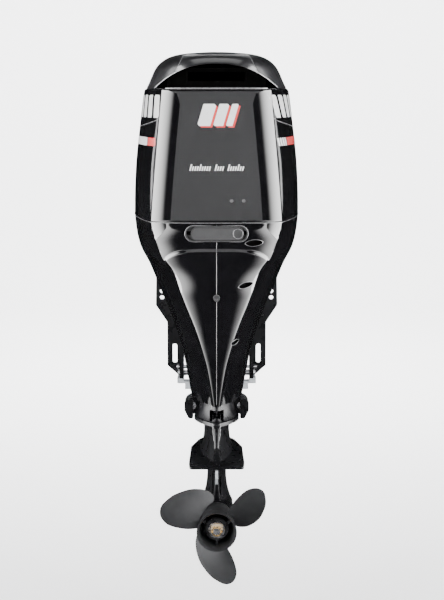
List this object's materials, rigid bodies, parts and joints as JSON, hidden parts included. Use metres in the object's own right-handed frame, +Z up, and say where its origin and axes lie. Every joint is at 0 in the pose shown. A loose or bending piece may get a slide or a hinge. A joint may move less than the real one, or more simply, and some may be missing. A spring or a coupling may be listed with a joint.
{
  "type": "outboard motor",
  "caption": "Outboard motor with tall black cowl, rear lift latch, tapered side covers, leg with anti-ventilation plate and skeg, three-bladed propeller, clamp brackets with tilt ram.",
  "frame": {"origin": "middle of the lower pair of upper transom bolt holes, on the plane of the transom's aft face", "axes": "+X to starboard, +Y forward into the boat, normal to the transom's face, +Z up along the leg"},
  "size_m": [0.4613, 0.768, 1.478],
  "materials": {
    "gloss_black_cowl": "gloss lacquer over moulded panels",
    "satin_black_plastic": "fine grained satin",
    "black_paint": "gloss paint on cast aluminium",
    "propeller_paint": "satin powder paint on cast aluminium",
    "bare_aluminium": "as cast and machined",
    "steel": "machined stainless steel",
    "cast_iron_parts": "machined dark iron",
    "brass_nut": "machined brass",
    "rubber_black": "soft black rubber",
    "zinc": "dull sacrificial anode"
  },
  "bodies": {
    "clamp": {"clamp_bracket_port": "black_paint", "clamp_bracket_starboard": "black_paint", "tilt_tube": "steel", "tilt_tube_nuts": "steel", "ram_foot_pin": "steel", "tilt_stop_pin": "steel", "bracket_anode": "zinc"},
    "swivel": {"swivel_bracket": "black_paint", "ram_eye_pin": "steel", "swivel_bushes": "satin_black_plastic"},
    "support_lever": {"tilt_support_lever": "satin_black_plastic"},
    "ram_barrel": {"ram_cylinder": "black_paint", "tilt_pump_motor": "black_paint"},
    "ram_rod": {"ram_rod": "steel"},
    "motor": {"steering_bracket": "black_paint", "lower_mount_yoke": "black_paint", "rubber_mounts": "rubber_black", "mount_bolts": "steel", "drive_shaft_housing": "black_paint", "lower_mount_caps": "black_paint", "gearcase": "black_paint", "water_intake_grilles": "satin_black_plastic", "water_pump_housing": "satin_black_plastic", "bearing_carrier": "bare_aluminium", "gear_bearings": "steel", "engine_holder": "bare_aluminium", "cylinder_block": "bare_aluminium", "cylinder_head": "bare_aluminium", "head_cover": "satin_black_plastic", "flywheel_cover": "satin_black_plastic", "intake_manifold": "satin_black_plastic", "starter_motor": "black_paint", "cowl_seal": "rubber_black", "lower_cover_port": "gloss_black_cowl", "lower_cover_starboard": "gloss_black_cowl", "latch_recess": "satin_black_plastic", "flush_port_plug": "satin_black_plastic", "rigging_grommet": "rubber_black"},
    "crank": {"crankshaft": "steel", "flywheel": "cast_iron_parts", "drive_shaft": "steel", "pinion_gear": "steel", "pump_impeller": "rubber_black"},
    "forward_gear": {"forward_gear": "steel"},
    "reverse_gear": {"reverse_gear": "steel"},
    "propeller": {"propeller_shaft": "steel", "propeller": "propeller_paint", "propeller_bush": "brass_nut", "nut_washer": "steel", "propeller_nut": "brass_nut"},
    "clutch_dog": {"clutch_dog": "steel"},
    "shift_rod": {"shift_rod": "steel"},
    "trim_tab": {"trim_tab": "zinc"},
    "upper_cowl": {"upper_cowl": "gloss_black_cowl", "top_cover": "satin_black_plastic", "top_cover_insert": "gloss_black_cowl", "intake_baffle": "satin_black_plastic", "cowl_plugs": "rubber_black"},
    "latch": {"latch_handle": "satin_black_plastic"},
    "tilt_switch": {"tilt_switch_button": "rubber_black"}
  },
  "joints": [
    {"name": "tilt", "type": "hinge", "parent": "clamp", "child": "swivel", "pos_m": [0, 0.02, 0.14], "axis": [-1, 0, 0], "range_deg": [0, 60]},
    {"name": "ram_swing", "type": "hinge", "parent": "clamp", "child": "ram_barrel", "pos_m": [0, -0.026, -0.225], "axis": [1, 0, 0], "range_deg": [0, 6.2]},
    {"name": "ram_extend", "type": "slide", "parent": "ram_barrel", "child": "ram_rod", "axis": [0, 0, 1], "range_m": [0, 0.0625]},
    {"name": "support_lever_swing", "type": "hinge", "parent": "swivel", "child": "support_lever", "pos_m": [-0.075, -0.03, 0.096], "axis": [1, 0, 0], "range_deg": [0, 70]},
    {"name": "steering", "type": "hinge", "parent": "swivel", "child": "motor", "pos_m": [0, -0.095, 0], "axis": [0, 0, 1], "range_deg": [-30, 30]},
    {"name": "crank_spin", "type": "hinge", "parent": "motor", "child": "crank", "pos_m": [0, -0.21, 0.2], "axis": [0, 0, 1], "continuous": true},
    {"name": "forward_gear_spin", "type": "hinge", "parent": "motor", "child": "forward_gear", "pos_m": [0, -0.178, -0.588], "axis": [0, 1, 0], "continuous": true},
    {"name": "reverse_gear_spin", "type": "hinge", "parent": "motor", "child": "reverse_gear", "pos_m": [0, -0.242, -0.588], "axis": [0, 1, 0], "continuous": true},
    {"name": "propeller_spin", "type": "hinge", "parent": "motor", "child": "propeller", "pos_m": [0, -0.37, -0.588], "axis": [0, 1, 0], "continuous": true},
    {"name": "shift_turn", "type": "hinge", "parent": "motor", "child": "shift_rod", "pos_m": [0, -0.168, 0], "axis": [0, 0, 1], "range_deg": [-15, 15]},
    {"name": "dog_slide", "type": "slide", "parent": "propeller", "child": "clutch_dog", "axis": [0, 1, 0], "range_m": [-0.005, 0.005]},
    {"name": "trim_tab_turn", "type": "hinge", "parent": "motor", "child": "trim_tab", "pos_m": [0, -0.392, -0.418], "axis": [0, 0, 1], "range_deg": [-15, 15]},
    {"name": "cowl_lift", "type": "slide", "parent": "motor", "child": "upper_cowl", "axis": [0, 0, 1], "range_m": [0, 0.45]},
    {"name": "latch_turn", "type": "hinge", "parent": "motor", "child": "latch", "pos_m": [0.064, -0.517, 0.244], "axis": [0, 0, 1], "range_deg": [0, 45], "stiffness_Nm_per_rad": 0.6},
    {"name": "tilt_switch_press", "type": "slide", "parent": "motor", "child": "tilt_switch", "axis": [-1, 0, 0], "range_m": [0, 0.002], "stiffness_N_per_m": 400}
  ],
  "couplings": [
    {"joint": "ram_swing", "follows": "tilt", "ratio": 0.1},
    {"joint": "ram_extend", "follows": "tilt", "m_per_rad": 0.059},
    {"joint": "forward_gear_spin", "follows": "crank_spin", "ratio": -0.41379},
    {"joint": "reverse_gear_spin", "follows": "crank_spin", "ratio": 0.41379},
    {"joint": "shift_turn", "follows": "dog_slide", "rad_per_m": 52.3}
  ]
}
